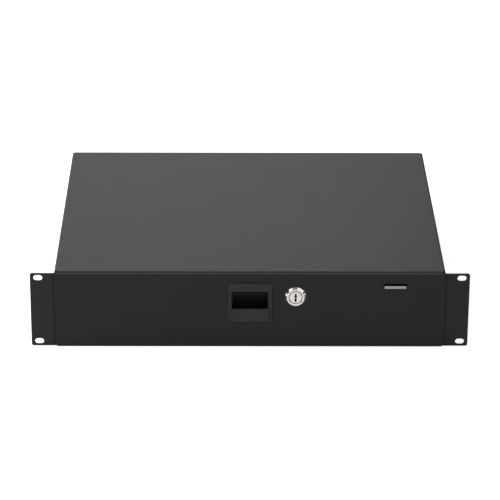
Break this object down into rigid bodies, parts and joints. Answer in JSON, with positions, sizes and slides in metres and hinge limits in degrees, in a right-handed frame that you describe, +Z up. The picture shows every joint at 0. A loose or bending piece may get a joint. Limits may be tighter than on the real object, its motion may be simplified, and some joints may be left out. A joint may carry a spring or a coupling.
{
  "type": "sliding rack drawer",
  "caption": "Steel drawer for a 19 inch equipment rack: closed casing with slotted ears, ball-bearing slides, finger-pull latch and cam lock.",
  "frame": {"origin": "centre of the four rack slots, on the rear face of the ears", "axes": "+X to the right across the rack, +Y to the back of the casing, +Z up"},
  "size_m": [0.4826, 0.3768, 0.0878],
  "materials": {
    "black_powder_coat": "fine-textured satin black powder coat",
    "front_powder_coat": "fine-textured satin black powder coat",
    "zinc_plated_steel": "bright zinc plate",
    "black_screw": "black oxide",
    "slide_steel": "zinc-plated rolled strip",
    "cage_steel": "plain pressed strip",
    "ball_steel": "polished",
    "buffer_rubber": "matt black rubber",
    "latch_plastic": "fine moulded grain",
    "spring_wire": "drawn spring wire",
    "lock_chrome": "bright chrome plate",
    "lock_nickel": "nickel-plated brass, faintly warm"
  },
  "bodies": {
    "casing": {"chassis": "black_powder_coat", "top_cover": "black_powder_coat", "cover_screws": "black_screw", "strike_rail": "black_powder_coat", "slide_outer_right": "slide_steel", "slide_outer_left": "slide_steel", "slide_screws_right": "zinc_plated_steel", "slide_screws_left": "zinc_plated_steel", "buffer_right": "buffer_rubber", "buffer_left": "buffer_rubber"},
    "drawer": {"drawer_tray": "black_powder_coat", "tray_back": "black_powder_coat", "front_panel": "front_powder_coat", "panel_studs": "zinc_plated_steel", "panel_nuts": "zinc_plated_steel", "slide_inner_right": "slide_steel", "slide_inner_left": "slide_steel", "tray_screws_right": "zinc_plated_steel", "tray_screws_left": "zinc_plated_steel", "latch_housing": "latch_plastic", "latch_pin": "zinc_plated_steel", "latch_screws": "black_screw", "latch_spring": "spring_wire", "lock_body": "lock_chrome", "lock_washer": "zinc_plated_steel", "lock_nut": "lock_chrome"},
    "latch_lever": {"latch_lever": "latch_plastic"},
    "lock_core": {"lock_plug": "lock_nickel", "lock_cam": "zinc_plated_steel", "cam_screw": "zinc_plated_steel"},
    "middle_right": {"slide_middle_right": "slide_steel"},
    "outer_cage_right": {"outer_cage_right": "cage_steel", "outer_balls_right": "ball_steel"},
    "inner_cage_right": {"inner_cage_right": "cage_steel", "inner_balls_right": "ball_steel"},
    "middle_left": {"slide_middle_left": "slide_steel"},
    "outer_cage_left": {"outer_cage_left": "cage_steel", "outer_balls_left": "ball_steel"},
    "inner_cage_left": {"inner_cage_left": "cage_steel", "inner_balls_left": "ball_steel"}
  },
  "joints": [
    {"name": "drawer_slide", "type": "slide", "parent": "casing", "child": "drawer", "axis": [0, -1, 0], "range_m": [0, 0.35]},
    {"name": "middle_right_slide", "type": "slide", "parent": "casing", "child": "middle_right", "axis": [0, -1, 0], "range_m": [0, 0.27]},
    {"name": "outer_cage_right_slide", "type": "slide", "parent": "casing", "child": "outer_cage_right", "axis": [0, -1, 0], "range_m": [0, 0.27]},
    {"name": "inner_cage_right_slide", "type": "slide", "parent": "casing", "child": "inner_cage_right", "axis": [0, -1, 0], "range_m": [0, 0.27]},
    {"name": "middle_left_slide", "type": "slide", "parent": "casing", "child": "middle_left", "axis": [0, -1, 0], "range_m": [0, 0.27]},
    {"name": "outer_cage_left_slide", "type": "slide", "parent": "casing", "child": "outer_cage_left", "axis": [0, -1, 0], "range_m": [0, 0.27]},
    {"name": "inner_cage_left_slide", "type": "slide", "parent": "casing", "child": "inner_cage_left", "axis": [0, -1, 0], "range_m": [0, 0.27]},
    {"name": "latch_tilt", "type": "hinge", "parent": "drawer", "child": "latch_lever", "pos_m": [0, -0.0012, 0.0282], "axis": [-1, 0, 0], "range_deg": [0, 20], "stiffness_Nm_per_rad": 0.06, "springref_deg": -20.05, "deforming": ["latch_spring"]},
    {"name": "lock_turn", "type": "hinge", "parent": "drawer", "child": "lock_core", "pos_m": [0.0501, 0.0149, 0.0171], "axis": [0, -1, 0], "range_deg": [0, 90]}
  ],
  "couplings": [
    {"joint": "middle_right_slide", "follows": "drawer_slide", "ratio": 0.5},
    {"joint": "outer_cage_right_slide", "follows": "drawer_slide", "ratio": 0.25},
    {"joint": "inner_cage_right_slide", "follows": "drawer_slide", "ratio": 0.75},
    {"joint": "middle_left_slide", "follows": "drawer_slide", "ratio": 0.5},
    {"joint": "outer_cage_left_slide", "follows": "drawer_slide", "ratio": 0.25},
    {"joint": "inner_cage_left_slide", "follows": "drawer_slide", "ratio": 0.75}
  ]
}
